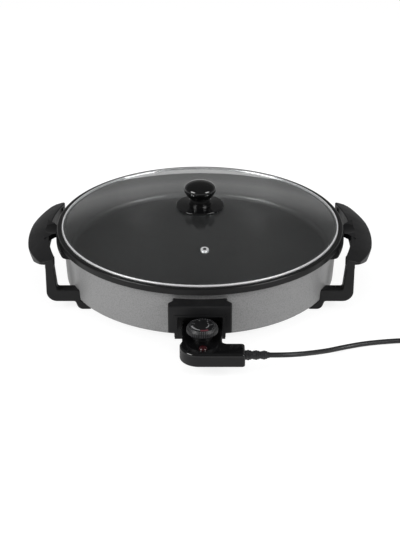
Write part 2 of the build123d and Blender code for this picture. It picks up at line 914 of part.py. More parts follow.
# Plan of the thermostat housing: a trunk into the guard and an arm to the right
def plug_plan():
    return outline([
        (-trunk_left, -plug_rear, plug_small_round),
        (trunk_right, -plug_rear, plug_small_round),
        (trunk_right, -arm_back, plug_notch_round),
        (arm_right, -arm_back, plug_small_round),
        (arm_right, -arm_front, plug_small_round),
        (-arm_left, -arm_front, plug_corner_radius),
        (-arm_left, -flare_start - flare_length, plug_small_round),
        (-trunk_left, -flare_start, plug_small_round),
    ])


def plug_layer(low, high, inset=0):
    plan = offset(plug_plan(), amount=-inset) if inset else plug_plan()
    return Pos(0, 0, low) * extrude(plan, amount=high - low)


def cover_screw_places():
    return (
        (-trunk_left + boss_inset, -flare_start + boss_radius),
        (trunk_right - boss_inset, -arm_back + boss_radius),
        (arm_right - 2 * boss_inset, -arm_front + boss_inset),
    )


def make_base_cover():
    shell = plug_layer(plug_bottom, plug_parting)
    shell = fillet(shell.faces().sort_by(Axis.Z)[0].edges(), plug_edge_round / 2)
    shell -= plug_layer(cavity_floor, plug_parting + cut_overrun, plug_wall)
    for x, y in cover_screw_places():
        shell += rod((x, y, cavity_floor), (x, y, plug_parting), boss_radius)
    for x, y in cover_screw_places():
        shell -= rod((x, y, 0), (x, y, plug_parting + cut_overrun), cover_screw_radius + slip_gap)
        head = cover_screw_head_radius + slip_gap
        shell -= rod((x, y, 0), (x, y, plug_bottom + cover_screw_head_height), head)
    rear = -plug_rear - 2 * plug_wall
    front = -plug_rear + cut_overrun
    for x in (-pin_x, pin_x):
        shell -= rod((x, rear, pin_height), (x, front, pin_height), pin_radius + seat_gap)
    shell -= rod((0, rear, pin_height), (0, front, pin_height), probe_radius + snug_gap)
    neck = relief_root_radius - relief_groove + snug_gap
    inside = (arm_right - 2 * plug_wall, -relief_back, relief_height)
    return shell - rod(inside, (arm_right + cut_overrun, -relief_back, relief_height), neck)


def make_top_cover():
    lid = plug_layer(plug_parting, plug_top)
    lid = fillet(lid.faces().sort_by(Axis.Z)[-1].edges(), plug_edge_round)
    ceiling = plug_top - plug_wall
    lid -= plug_layer(plug_parting - cut_overrun, ceiling, plug_wall)
    bearing_bottom = plug_parting - plug_wall / 2
    dial_at = (dial_x, -dial_back)
    lens_at = (lens_x, -lens_back)
    over = plug_top + cut_overrun
    lid += rod((*dial_at, bearing_bottom), (*dial_at, ceiling), spindle_radius + plug_wall)
    lid -= rod((*dial_at, 0), (*dial_at, over), spindle_radius + snug_gap)
    lid -= rod((*lens_at, 0), (*lens_at, over), lens_radius + slip_gap)
    for x, y in cover_screw_places():
        lid += rod((x, y, plug_parting), (x, y, ceiling), boss_radius)
        lid -= rod((x, y, 0), (x, y, ceiling), cover_screw_radius + snug_gap)
    return lid


def make_cover_screws():
    seat = plug_bottom + cover_screw_head_height
    tip = plug_top - plug_wall - seat_gap
    return [
        rod((x, y, seat), (x, y, tip), cover_screw_radius)
        + rod((x, y, plug_bottom), (x, y, seat), cover_screw_head_radius)
        for x, y in cover_screw_places()
    ]


def make_probe_tube():
    tip = -plug_rear + probe_reach
    tube = rod((0, -plug_rear - 2 * plug_wall, pin_height), (0, tip, pin_height), probe_radius)
    nose = tube.edges().filter_by(GeomType.CIRCLE).sort_by(Axis.Y)[-1]
    return fillet(nose, probe_radius * 3 / 4)


def make_contact_sockets():
    start = -plug_rear - max(plug_wall, plug_small_round) - slip_gap
    sockets = []
    for x in (-pin_x, pin_x):
        tube = rod((x, start - socket_length, pin_height), (x, start, pin_height), socket_radius)
        deep = start - socket_length + socket_wall
        sockets.append(tube - rod((x, deep, pin_height), (x, 0, pin_height), socket_bore))
    return sockets


carrier_front = -plug_rear - plug_wall - carrier_inset


def make_switch_carrier():
    carrier = block(
        (-trunk_left + plug_wall + carrier_inset, trunk_right - plug_wall - carrier_inset),
        (carrier_front - carrier_length, carrier_front),
        (cavity_floor, carrier_top),
    )
    post = block(
        (bimetal_x - blade_width / 2, bimetal_x + blade_width / 2),
        (carrier_front - blade_width, carrier_front),
        (carrier_top, carrier_top + bimetal_post_height),
    )
    return carrier + post


def make_bimetal_arm():
    low = carrier_top + bimetal_post_height
    return block(
        (bimetal_x - blade_width / 2, bimetal_x + blade_width / 2),
        (carrier_front - bimetal_length, carrier_front),
        (low, low + blade_thickness),
    )


def make_fixed_contact():
    blade = block(
        (fixed_blade_x - blade_width / 2, fixed_blade_x + blade_width / 2),
        (carrier_front - carrier_length, carrier_front),
        (carrier_top, carrier_top + blade_thickness),
    )
    at = (fixed_blade_x, carrier_front - carrier_length + blade_width / 2)
    low = carrier_top + blade_thickness
    return blade + rod((*at, low), (*at, low + blade_thickness), blade_width / 3)


lens_bottom = plug_top - 2 * plug_wall


def make_neon_lamp():
    lamp = rod(
        (lens_x, -lens_back, cavity_floor), (lens_x, -lens_back, lens_bottom - seat_gap), lamp_radius
    )
    tip = lamp.edges().filter_by(GeomType.CIRCLE).sort_by(Axis.Z)[-1]
    return fillet(tip, lamp_radius * 3 / 4)


def make_indicator_lens():
    seat = plug_top + snug_gap
    top = plug_top + lens_rise
    stem = Polyline(
        (0, top),
        (0, lens_bottom),
        (lens_radius, lens_bottom),
        (lens_radius, seat),
        (lens_flange_radius, seat),
        (lens_flange_radius, seat + lens_rise / 4),
    )
    dome = Bezier(
        (lens_flange_radius, seat + lens_rise / 4),
        (lens_flange_radius, seat + lens_rise * 2 / 3),
        (lens_flange_radius / 2, top),
        (0, top),
    )
    section = Plane.XZ * make_face(stem.edges() + dome.edges())
    return Pos(lens_x, -lens_back, 0) * revolve(section, axis=Axis.Z)


def make_dial_knob():
    bore = spindle_radius + snug_gap
    bore_top = dial_bottom + spindle_grip + snug_gap
    corners = [(0, bore_top), (bore, bore_top), (bore, dial_bottom), (dial_neck_radius, dial_bottom)]
    step = dial_neck_height / (2 * dial_groove_count + 1)
    for i in range(dial_groove_count):
        low = dial_bottom + step * (2 * i + 1)
        corners += [
            (dial_neck_radius, low),
            (dial_neck_radius - dial_groove, low),
            (dial_neck_radius - dial_groove, low + step),
            (dial_neck_radius, low + step),
        ]
    corners += [
        (dial_neck_radius, dial_body_bottom),
        (dial_radius, dial_body_bottom, dial_round / 2),
        (dial_radius, dial_top - dial_bevel_drop, dial_round),
        (dial_radius - dial_bevel, dial_top, dial_round),
        (0, dial_top),
    ]
    return Pos(dial_x, -dial_back, 0) * turned(corners)


def make_dial_spindle():
    low = plug_top - spindle_drop
    spindle = turned([
        (0, low),
        (spindle_collar_radius, low),
        (spindle_collar_radius, low + spindle_collar_height),
        (spindle_radius, low + spindle_collar_height),
        (spindle_radius, dial_bottom + spindle_grip),
        (0, dial_bottom + spindle_grip),
    ])
    return Pos(dial_x, -dial_back, 0) * spindle


def make_strain_relief():
    neck = relief_root_radius - relief_groove
    back = -plug_wall - slip_gap
    corners = [
        (0, back - relief_lug_length),
        (relief_lug_radius, back - relief_lug_length),
        (relief_lug_radius, back),
        (neck, back),
        (neck, slip_gap),
    ]
    step = (relief_length - slip_gap) / (2 * relief_rib_count)
    for i in range(relief_rib_count):
        share = i / relief_rib_count
        radius = relief_root_radius + share * (relief_end_radius - relief_root_radius)
        low = slip_gap + 2 * i * step
        corners += [
            (radius, low, step / 5),
            (radius, low + step, step / 5),
            (radius - relief_groove, low + step),
            (radius - relief_groove, low + 2 * step),
        ]
    corners.append((0, relief_length))
    return Pos(arm_right, -relief_back, relief_height) * Rot(0, 90, 0) * turned(corners)


# The lead's free stretch: straight out of the strain relief, down to the table, along it to the coil
def cord_route():
    return [
        Vector(relief_tip_x, -relief_back, relief_height),
        Vector(relief_tip_x + 18, -relief_back, relief_height),
        Vector(132, -263, 23.5),
        Vector(153, -245, 15.5),
        Vector(173, -227, 8),
        Vector(196, -211, 4.2),
        Vector(230, -199, 3.9),
        Vector(280, coil_y - coil_outer_radius, coil_base),
        Vector(coil_x - cord_diameter, coil_y - coil_outer_radius, coil_base),
    ]


def make_cord_lead():
    route = cord_route()
    radii = []
    for before, corner, after in zip(route, route[1:], route[2:]):
        shorter = min((corner - before).length, (after - corner).length)
        half_turn = radians((corner - before).get_angle(after - corner)) / 2
        radii.append(bend_share * shorter / tan(half_turn))
    path = Wire(FilletPolyline(*route, radius=radii).edges())
    tube = sweep(Plane(origin=path @ 0, z_dir=path % 0) * Circle(cord_radius), path=path)
    print("lead radii", [round(radius) for radius in radii])
    print("lead length", round(path.length, 1))
    print("lead volume share", round(tube.volume / (pi * cord_radius**2 * path.length), 4))
    return tube


# Spiral in on the table, climb a layer over half a turn, spiral out again on top
def coil_point(angle):
    layer = 360 * coil_layer_turn_share
    whole = 2 * layer + 180
    inward = min(angle, whole - angle)
    radius = coil_outer_radius - coil_turn_pitch * inward / 360
    climb = min(max((angle - layer) / 180, 0), 1)
    height = coil_base + coil_layer_height * climb * climb * (3 - 2 * climb)
    around = radians(angle - 90)
    return Vector(coil_x + radius * cos(around), coil_y + radius * sin(around), height)


def biarc(start, start_along, end, end_along):
    chord = end - start
    both = start_along + end_along
    a = 2 * start_along.dot(end_along) - 2
    b = -2 * chord.dot(both)
    c = chord.dot(chord)
    reach = (-b - sqrt(b * b - 4 * a * c)) / (2 * a)
    first = start + start_along * reach
    second = end - end_along * reach
    join = (first + second) / 2
    return [
        TangentArc(start, join, tangent=start_along).edge(),
        TangentArc(join, end, tangent=second - first).edge(),
    ]


def make_cord_coil():
    whole = 2 * 360 * coil_layer_turn_share + 180
    count = ceil(whole / 90)
    angles = [whole * i / count for i in range(count + 1)]
    points = [coil_point(angle) for angle in angles]
    step = whole / count / 1000
    alongs = [(coil_point(angle + step) - coil_point(angle - step)).normalized() for angle in angles]
    alongs[0] = Vector(1, 0, 0)
    alongs[-1] = Vector(0, 1, 0)
    edges = [Line(points[0] - alongs[0] * cord_diameter, points[0]).edge()]
    for i in range(count):
        edges += biarc(points[i], alongs[i], points[i + 1], alongs[i + 1])
    edges.append(Line(points[-1], points[-1] + alongs[-1] * cord_diameter).edge())
    path = Wire(edges)
    tube = sweep(Plane(origin=path @ 0, z_dir=path % 0) * Circle(cord_radius), path=path)
    steps = 60 * count
    samples = [path @ (i / steps) for i in range(steps + 1)]
    apart = steps // 6
    gap = min(
        (samples[i] - samples[j]).length - cord_diameter
        for i in range(steps + 1)
        for j in range(i + apart, steps + 1)
    )
    print("coil length", round(path.length, 1), "least gap", round(gap, 2))
    print("coil volume share", round(tube.volume / (pi * cord_radius**2 * path.length), 4))
    return tube


def make_cord_tie():
    inner = coil_inner_radius - cord_radius - 2 * seat_gap
    outer = coil_outer_radius + cord_radius + seat_gap
    low = coil_base - cord_radius - seat_gap
    high = coil_top + cord_radius + seat_gap
    half = tie_width / 2
    band = block(
        (inner - tie_sheet, outer + tie_sheet), (-half, half), (low - tie_sheet, high + tie_sheet)
    )
    band -= block((inner, outer), (-half - cut_overrun, half + cut_overrun), (low, high))
    return Pos(coil_x, coil_y, 0) * Rot(0, 0, tie_angle) * band


# The mains plug lies beside the coil and points away along +Y
def make_mains_plug():
    body_face = RectangleRounded(mains_plug_width, mains_plug_height, mains_plug_round)
    neck = loft([
        Circle(cord_radius + mains_neck_wall),
        Pos(0, 0, mains_neck_length) * Circle(mains_neck_radius),
    ])
    body = Pos(0, 0, mains_neck_length) * extrude(body_face, amount=mains_plug_length)
    body = fillet(body.faces().filter_by(Axis.Z).edges(), mains_plug_round / 3)
    plug = neck + body
    end = mains_neck_length + mains_plug_length
    for x in (-mains_pin_spacing / 2, mains_pin_spacing / 2):
        plug -= rod((x, 0, end - mains_pin_root_length), (x, 0, end), mains_pin_root_radius + snug_gap)
    return mains_plug_place() * plug


def mains_plug_place():
    start = Vector(coil_x + coil_outer_radius, coil_y + cord_diameter, coil_top)
    return Plane(origin=start, x_dir=(1, 0, 0), z_dir=(0, 1, 0)).location


def make_plug_pins():
    face = mains_neck_length + mains_plug_length
    pins = []
    for x in (-mains_pin_spacing / 2, mains_pin_spacing / 2):
        pin = rod((x, 0, face), (x, 0, face + mains_pin_length), mains_pin_radius)
        nose = pin.edges().filter_by(GeomType.CIRCLE).sort_by(Axis.Z)[-1]
        root = rod((x, 0, face - mains_pin_root_length), (x, 0, face), mains_pin_root_radius)
        pins.append(mains_plug_place() * (fillet(nose, mains_pin_radius / 2) + root))
    return pins


right_grip = make_right_grip()
rear_right_leg = make_leg()
front_right_leg = mirror(rear_right_leg, about=Plane.XZ)

nodes = {
    "cooking_dish": make_cooking_dish(),
    "outer_casing": make_outer_casing(),
    "base_plate": make_base_plate(),
    "heating_element": make_heating_element(),
    "element_clamp_plate": make_clamp_plate(),
    "dish_studs": make_dish_studs(),
    "clamp_nuts": [hex_nut(at.X, at.Y, clamp_bottom - nut_height, stud_radius) for at in stud_places()],
    "base_nuts": [hex_nut(at.X, at.Y, flange_top - nut_height, stud_radius) for at in stud_places()],
    "probe_well": make_probe_well(),
    "terminal_block": make_terminal_block(),
    "terminal_pins": make_terminal_pins(),
    "socket_guard": make_socket_guard(),
    "guard_screws": make_guard_screws(),
    "right_handle_grip": right_grip,
    "left_handle_grip": mirror(right_grip, about=Plane.YZ),
    "rear_right_leg": rear_right_leg,
    "front_right_leg": front_right_leg,
    "rear_left_leg": mirror(rear_right_leg, about=Plane.YZ),
    "front_left_leg": mirror(front_right_leg, about=Plane.YZ),
    "grip_screws": make_grip_screws(),
    "leg_screws": make_leg_screws(),
    "leg_nuts": [hex_nut(x, y, base_top, screw_radius) for x, y in leg_screw_places()],
    "lid_glass": make_lid_glass(),
    "lid_rim": make_lid_rim(),
    "vent_eyelet": make_vent_eyelet(),
    "lid_knob": make_lid_knob(),
    "knob_flange": make_knob_flange(),
    "knob_gasket": make_knob_gasket(),
    "knob_insert": make_knob_insert(),
    "knob_washer": make_knob_washer(),
    "knob_screw": make_knob_screw(),
    "thermostat_base_cover": make_base_cover(),
    "thermostat_top_cover": make_top_cover(),
    "cover_screws": make_cover_screws(),
    "probe_tube": make_probe_tube(),
    "contact_sockets": make_contact_sockets(),
    "switch_carrier": make_switch_carrier(),
    "bimetal_arm": make_bimetal_arm(),
    "fixed_contact": make_fixed_contact(),
    "neon_lamp": make_neon_lamp(),
    "indicator_lens": make_indicator_lens(),
    "dial_knob": make_dial_knob(),
    "dial_spindle": make_dial_spindle(),
    "strain_relief": make_strain_relief(),
    "cord_lead": make_cord_lead(),
    "cord_coil": make_cord_coil(),
    "cord_tie": make_cord_tie(),
    "mains_plug": make_mains_plug(),
    "plug_pins": make_plug_pins(),
}

os.makedirs("parts", exist_ok=True)
for name, piece in nodes.items():
    solids = piece if isinstance(piece, list) else [piece]
    export_step(Compound(label=name, children=solids), f"parts/{name}.step")
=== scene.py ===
import json
import math
import bpy
import bmesh
from mathutils import Matrix, Vector


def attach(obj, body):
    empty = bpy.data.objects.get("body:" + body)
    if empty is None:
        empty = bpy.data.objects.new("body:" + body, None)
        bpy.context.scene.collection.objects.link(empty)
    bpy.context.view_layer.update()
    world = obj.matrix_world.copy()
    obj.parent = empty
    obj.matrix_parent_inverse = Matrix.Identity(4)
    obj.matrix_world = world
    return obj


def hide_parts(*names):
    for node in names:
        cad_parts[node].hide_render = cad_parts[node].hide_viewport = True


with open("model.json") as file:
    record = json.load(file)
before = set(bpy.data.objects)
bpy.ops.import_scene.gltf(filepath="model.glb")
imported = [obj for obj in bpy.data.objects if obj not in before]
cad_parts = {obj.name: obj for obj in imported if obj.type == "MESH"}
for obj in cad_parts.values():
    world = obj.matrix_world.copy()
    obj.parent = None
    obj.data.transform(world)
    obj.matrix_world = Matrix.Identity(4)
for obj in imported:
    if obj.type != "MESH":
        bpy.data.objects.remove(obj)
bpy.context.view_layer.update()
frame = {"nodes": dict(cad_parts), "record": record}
scene = bpy.context.scene
scene.view_settings.view_transform = "Standard"
print("frame loaded:", len(frame["nodes"]), "nodes")


# Helpers for node trees of every kind: a plain value is set on its socket, an output is linked to it
def feedSockets(tree, sockets, values):
    for socket, value in zip(sockets, values):
        if isinstance(value, (int, float)):
            socket.default_value = value
        else:
            tree.links.new(value, socket)


def treeMath(tree, operation, *values):
    node = tree.nodes.new("ShaderNodeMath")
    node.operation = operation
    feedSockets(tree, node.inputs, values)
    return node.outputs[0]


def treeVector(tree, x, y, z):
    node = tree.nodes.new("ShaderNodeCombineXYZ")
    feedSockets(tree, node.inputs, (x, y, z))
    return node.outputs[0]


def mixShaders(tree, factor, first, second):
    node = tree.nodes.new("ShaderNodeMixShader")
    feedSockets(tree, node.inputs, (factor, first, second))
    return node.outputs[0]


# Stretches the source's span to the range of the result
def ranged(tree, source, result, span=(0.0, 1.0)):
    node = tree.nodes.new("ShaderNodeMapRange")
    tree.links.new(source, node.inputs["Value"])
    for label, value in zip(("From Min", "From Max", "To Min", "To Max"), (*span, *result)):
        node.inputs[label].default_value = value
    return node.outputs["Result"]


def greyTone(level):
    return (level, level, level, 1.0)


# Camera at the photograph's angle, pitched a little below the pan's middle
cameraSetup = {
    "aim": (0.0, 0.0, 0.0925),
    "distance": 2.2,
    "elevation": 25.3,
    "pitchDown": 27.0,
    "lens": 102.2,
    "sensor": 36.0,
}


def addCamera(setup):
    rise = math.radians(setup["elevation"])
    back = Vector((0.0, -math.cos(rise), math.sin(rise)))
    cameraData = bpy.data.cameras.new("panCamera")
    cameraData.lens = setup["lens"]
    cameraData.sensor_width = setup["sensor"]
    camera = bpy.data.objects.new("panCamera", cameraData)
    scene.collection.objects.link(camera)
    camera.location = Vector(setup["aim"]) + back * setup["distance"]
    camera.rotation_euler = (math.radians(90.0 - setup["pitchDown"]), 0.0, 0.0)
    scene.camera = camera


addCamera(cameraSetup)
print("camera set")


# Two front softboxes, as the pairs of glints on the knob show, and a weak light overhead
lampSetup = {
    "aim": (0.0, 0.0, 0.08),
    "softboxes": [
        {"name": "softboxLeft", "azimuth": -56.0, "rise": 30.0, "away": 2.0,
         "wide": 0.95, "high": 0.62, "watts": 25.0, "mirrors": True},
        {"name": "softboxRight", "azimuth": 56.0, "rise": 30.0, "away": 2.0,
         "wide": 0.95, "high": 0.62, "watts": 22.0, "mirrors": True},
        {"name": "overhead", "azimuth": 0.0, "rise": 86.0, "away": 2.2,
         "wide": 2.2, "high": 2.2, "watts": 14.0, "mirrors": False},
    ],
}


def addSoftbox(setup, aim):
    turn = math.radians(setup["azimuth"])
    rise = math.radians(setup["rise"])
    level = math.cos(rise)
    towards = Vector((math.sin(turn) * level, -math.cos(turn) * level, math.sin(rise)))
    lampData = bpy.data.lights.new(setup["name"], "AREA")
    lampData.shape = "RECTANGLE"
    lampData.size = setup["wide"]
    lampData.size_y = setup["high"]
    lampData.energy = setup["watts"]
    lamp = bpy.data.objects.new(setup["name"], lampData)
    scene.collection.objects.link(lamp)
    lamp.location = Vector(aim) + towards * setup["away"]
    lamp.rotation_euler = towards.to_track_quat("Z", "Y").to_euler()
    lamp.visible_camera = False
    lamp.visible_glossy = setup["mirrors"]


for softbox in lampSetup["softboxes"]:
    addSoftbox(softbox, lampSetup["aim"])


# Surround: white behind the object, and in reflections a dark studio with a paler band low down
surround = {
    "seen": 1.0,
    "diffuse": 0.42,
    "reflection": [
        (0.0, 0.2), (0.08, 0.24), (0.16, 0.36), (0.25, 0.33), (0.36, 0.17), (0.45, 0.13), (1.0, 0.14),
    ],
}


def buildSurround(setup):
    world = bpy.data.worlds.new("studioSurround")
    scene.world = world
    world.use_nodes = True
    tree = world.node_tree
    nodes, links = tree.nodes, tree.links
    nodes.clear()
    output = nodes.new("ShaderNodeOutputWorld")
    lightPath = nodes.new("ShaderNodeLightPath")
    coords = nodes.new("ShaderNodeTexCoord")
    split = nodes.new("ShaderNodeSeparateXYZ")
    links.new(coords.outputs["Generated"], split.inputs[0])
    ramp = nodes.new("ShaderNodeValToRGB")
    stops = ramp.color_ramp.elements
    while len(stops) < len(setup["reflection"]):
        stops.new(0.5)
    for stop, (place, level) in zip(stops, setup["reflection"]):
        stop.position = place
        stop.color = greyTone(level)
    links.new(split.outputs["Z"], ramp.inputs["Fac"])
    diffuse = nodes.new("ShaderNodeBackground")
    diffuse.inputs["Color"].default_value = greyTone(setup["diffuse"])
    reflected = nodes.new("ShaderNodeBackground")
    links.new(ramp.outputs["Color"], reflected.inputs["Color"])
    seen = nodes.new("ShaderNodeBackground")
    seen.inputs["Color"].default_value = greyTone(setup["seen"])
    rays = lightPath.outputs
    mirrored = treeMath(tree, "MAXIMUM", rays["Is Glossy Ray"], rays["Is Transmission Ray"])
    unseen = mixShaders(tree, mirrored, diffuse.outputs[0], reflected.outputs[0])
    whole = mixShaders(tree, rays["Is Camera Ray"], unseen, seen.outputs[0])
    links.new(whole, output.inputs["Surface"])


buildSurround(surround)


# Pale floor that keeps a soft shadow
floorSetup = {
    "half": 6.0,
    "height": -0.0003,
    "paint": 0.7,
    "seenPaint": 0.22,
    "seenGlow": 0.84,
    "mirroredGlow": 0.56,
}


def buildFloorPaint(setup):
    material = bpy.data.materials.new("paleFloor")
    material.use_nodes = True
    tree = material.node_tree
    nodes, links = tree.nodes, tree.links
    nodes.clear()
    output = nodes.new("ShaderNodeOutputMaterial")
    lightPath = nodes.new("ShaderNodeLightPath")
    rays = lightPath.outputs
    plain = nodes.new("ShaderNodeBsdfDiffuse")
    plain.inputs["Color"].default_value = greyTone(setup["paint"])
    seen = nodes.new("ShaderNodeBsdfDiffuse")
    seen.inputs["Color"].default_value = greyTone(setup["seenPaint"])
    glow = nodes.new("ShaderNodeEmission")
    strength = ranged(tree, rays["Is Glossy Ray"], (setup["seenGlow"], setup["mirroredGlow"]))
    links.new(strength, glow.inputs["Strength"])
    pale = nodes.new("ShaderNodeAddShader")
    feedSockets(tree, pale.inputs, (seen.outputs[0], glow.outputs[0]))
    cameraOrGlossy = treeMath(tree, "MAXIMUM", rays["Is Camera Ray"], rays["Is Glossy Ray"])
    anySight = treeMath(tree, "MAXIMUM", cameraOrGlossy, rays["Is Transmission Ray"])
    links.new(mixShaders(tree, anySight, plain.outputs[0], pale.outputs[0]), output.inputs["Surface"])
    return material


def buildFloor(setup):
    mesh = bpy.data.meshes.new("paleFloor")
    half, height = setup["half"], setup["height"]
    corners = [(-half, -half, height), (half, -half, height), (half, half, height), (-half, half, height)]
    mesh.from_pydata(corners, [], [(0, 1, 2, 3)])
    mesh.materials.append(buildFloorPaint(setup))
    floor = bpy.data.objects.new("paleFloor", mesh)
    scene.collection.objects.link(floor)


buildFloor(floorSetup)
print("stage set")


# The mains lead, with the points of the CAD route; it runs from the strain relief into a tied coil
cordSetup = {
    "diameter": 0.007,
    "length": 1.016,
    "route": [
        (0.091, -0.273, 0.028), (0.109, -0.273, 0.028), (0.132, -0.263, 0.0235), (0.153, -0.245, 0.0155),
        (0.173, -0.227, 0.008), (0.196, -0.211, 0.0042), (0.230, -0.199, 0.0039), (0.280, -0.1925, 0.0044),
        (0.328, -0.1925, 0.0044),
    ],
    "coilCentre": (0.335, -0.150),
    "coilRadius": 0.0425,
    "coilPitch": 0.0078,
    "coilBase": 0.0044,
    "coilRise": 0.0076,
    "coilStart": -90.0,
    "layerTurn": 495.0,
    "changeTurn": 180.0,
    "pointsPerTurn": 24,
    "plugEntry": (0.3775, -0.143, 0.012),
    "roundSteps": 6,
    "lineSteps": 8,
}


def coilTurn(setup):
    return 2 * setup["layerTurn"] + setup["changeTurn"]


# The coil winds inwards on the floor, climbs to a second layer and winds out again
def coilPoint(setup, angle):
    inward = min(angle, coilTurn(setup) - angle) / 360.0
    radius = setup["coilRadius"] - setup["coilPitch"] * inward
    climb = min(1.0, max(0.0, (angle - setup["layerTurn"]) / setup["changeTurn"]))
    height = setup["coilBase"] + setup["coilRise"] * climb * climb * (3.0 - 2.0 * climb)
    around = math.radians(angle + setup["coilStart"])
    centre = setup["coilCentre"]
    return (centre[0] + radius * math.cos(around), centre[1] + radius * math.sin(around), height)


def buildCord(setup):
    whole = coilTurn(setup)
    steps = round(whole / 360.0 * setup["pointsPerTurn"])
    points = list(setup["route"])
    points += [coilPoint(setup, whole * step / steps) for step in range(steps + 1)]
    points.append(setup["plugEntry"])
    curve = bpy.data.curves.new("mainsLead", "CURVE")
    curve.dimensions = "3D"
    curve.bevel_depth = 1.0  # the points carry the half width, which keeps the piece's box true
    curve.bevel_resolution = setup["roundSteps"]
    curve.use_fill_caps = True
    spline = curve.splines.new("NURBS")
    spline.points.add(len(points) - 1)
    for point, place in zip(spline.points, points):
        point.co = (*place, 1.0)
        point.radius = setup["diameter"] / 2
    spline.order_u = 3
    spline.use_endpoint_u = True
    spline.resolution_u = setup["lineSteps"]
    cord = bpy.data.objects.new("mainsLead", curve)
    scene.collection.objects.link(cord)
    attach(cord, "thermostat")
    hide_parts("cord_lead", "cord_coil")
    return cord


mainsLead = buildCord(cordSetup)
print("lead laid:", cordSetup["length"], "m")


# Shader groups that several finishes share
def openGroup(name, inputs, outputs):
    group = bpy.data.node_groups.new(name, "ShaderNodeTree")
    for label, value in inputs.items():
        socket = group.interface.new_socket(label, in_out="INPUT", socket_type="NodeSocketFloat")
        socket.default_value = value
    for label in outputs:
        group.interface.new_socket(label, in_out="OUTPUT", socket_type="NodeSocketFloat")
    return group, group.nodes.new("NodeGroupInput"), group.nodes.new("NodeGroupOutput")


# How far a point lies from an upright axis
def axisReach(tree, axis=(0.0, 0.0, 0.0)):
    source = tree.nodes.new("ShaderNodeTexCoord").outputs["Object"]
    for operation, operand in (("SUBTRACT", axis), ("MULTIPLY", (1.0, 1.0, 0.0))):
        node = tree.nodes.new("ShaderNodeVectorMath")
        node.operation = operation
        node.inputs[1].default_value = operand
        tree.links.new(source, node.inputs[0])
        source = node.outputs["Vector"]
    reach = tree.nodes.new("ShaderNodeVectorMath")
    reach.operation = "LENGTH"
    tree.links.new(source, reach.inputs[0])
    return reach.outputs["Value"]


# Fine moulding grain, and a cloud many times coarser
grainSetup = {"scale": 2400.0, "cloudScale": 60.0, "detail": 3.0, "cloudDetail": 4.0, "bump": 0.5}


def buildMouldGrain(setup):
    scales = {"Scale": setup["scale"], "Cloud Scale": setup["cloudScale"]}
    group, start, end = openGroup("mouldGrain", scales, ["Height", "Cloud"])
    nodes, links = group.nodes, group.links
    coords = nodes.new("ShaderNodeTexCoord")
    details = (setup["detail"], setup["cloudDetail"])
    for label, output, detail in zip(scales, ("Height", "Cloud"), details):
        noise = nodes.new("ShaderNodeTexNoise")
        noise.inputs["Detail"].default_value = detail
        links.new(coords.outputs["Object"], noise.inputs["Vector"])
        links.new(start.outputs[label], noise.inputs["Scale"])
        links.new(noise.outputs["Fac"], end.inputs[output])
    return group


# Smudges from hands and cloths
marksSetup = {"scale": 22.0, "distortion": 0.9, "detail": 6.0, "roughness": 0.62, "span": (0.34, 0.68)}


def buildHandlingMarks(setup):
    inputs = {"Scale": setup["scale"], "Distortion": setup["distortion"]}
    group, start, end = openGroup("handlingMarks", inputs, ["Smudge"])
    nodes, links = group.nodes, group.links
    coords = nodes.new("ShaderNodeTexCoord")
    noise = nodes.new("ShaderNodeTexNoise")
    noise.inputs["Detail"].default_value = setup["detail"]
    noise.inputs["Roughness"].default_value = setup["roughness"]
    links.new(coords.outputs["Object"], noise.inputs["Vector"])
    for label in inputs:
        links.new(start.outputs[label], noise.inputs[label])
    links.new(ranged(group, noise.outputs["Fac"], (0.0, 1.0), setup["span"]), end.inputs["Smudge"])
    return group


# Fine rings round the pan's axis, as turning and polishing leave
linesSetup = {"density": 2600.0, "detail": 2.0, "bump": 0.35}


def buildTurnedLines(setup):
    group, start, end = openGroup("turnedLines", {"Density": setup["density"]}, ["Line"])
    noise = group.nodes.new("ShaderNodeTexNoise")
    noise.noise_dimensions = "1D"
    noise.inputs["Scale"].default_value = 1.0  # the density is in the place already
    noise.inputs["Detail"].default_value = setup["detail"]
    place = treeMath(group, "MULTIPLY", axisReach(group), start.outputs["Density"])
    group.links.new(place, noise.inputs["W"])
    group.links.new(noise.outputs["Fac"], end.inputs["Line"])
    return group


mouldGrain = buildMouldGrain(grainSetup)
handlingMarks = buildHandlingMarks(marksSetup)
turnedLines = buildTurnedLines(linesSetup)


def openMaterial(name):
    material = bpy.data.materials.new(name)
    material.use_nodes = True
    tree = material.node_tree
    return material, tree, tree.nodes["Principled BSDF"]


def placeGroup(tree, group, values):
    node = tree.nodes.new("ShaderNodeGroup")
    node.node_tree = group
    for label, value in values.items():
        node.inputs[label].default_value = value
    return node


def placeGrain(tree, look):
    return placeGroup(tree, mouldGrain, {"Scale": look["grain"], "Cloud Scale": look["cloud"]})


def placeMarks(tree, scale=marksSetup["scale"]):
    return placeGroup(tree, handlingMarks, {"Scale": scale}).outputs["Smudge"]


colourSockets = (6, 7)  # where a Mix node takes its two colours
colourResult = 2  # and where it gives the mixed one


def mixColours(tree, factor, first, second):
    node = tree.nodes.new("ShaderNodeMix")
    node.data_type = "RGBA"
    tree.links.new(factor, node.inputs["Factor"])
    for place, colour in zip(colourSockets, (first, second)):
        if isinstance(colour, tuple):
            node.inputs[place].default_value = (*colour, 1.0)
        else:
            tree.links.new(colour, node.inputs[place])
    return node.outputs[colourResult]


def bumped(tree, shader, source, strength, depth):
    node = tree.nodes.new("ShaderNodeBump")
    node.inputs["Strength"].default_value = strength
    node.inputs["Distance"].default_value = depth
    tree.links.new(source, node.inputs["Height"])
    tree.links.new(node.outputs["Normal"], shader.inputs["Normal"])


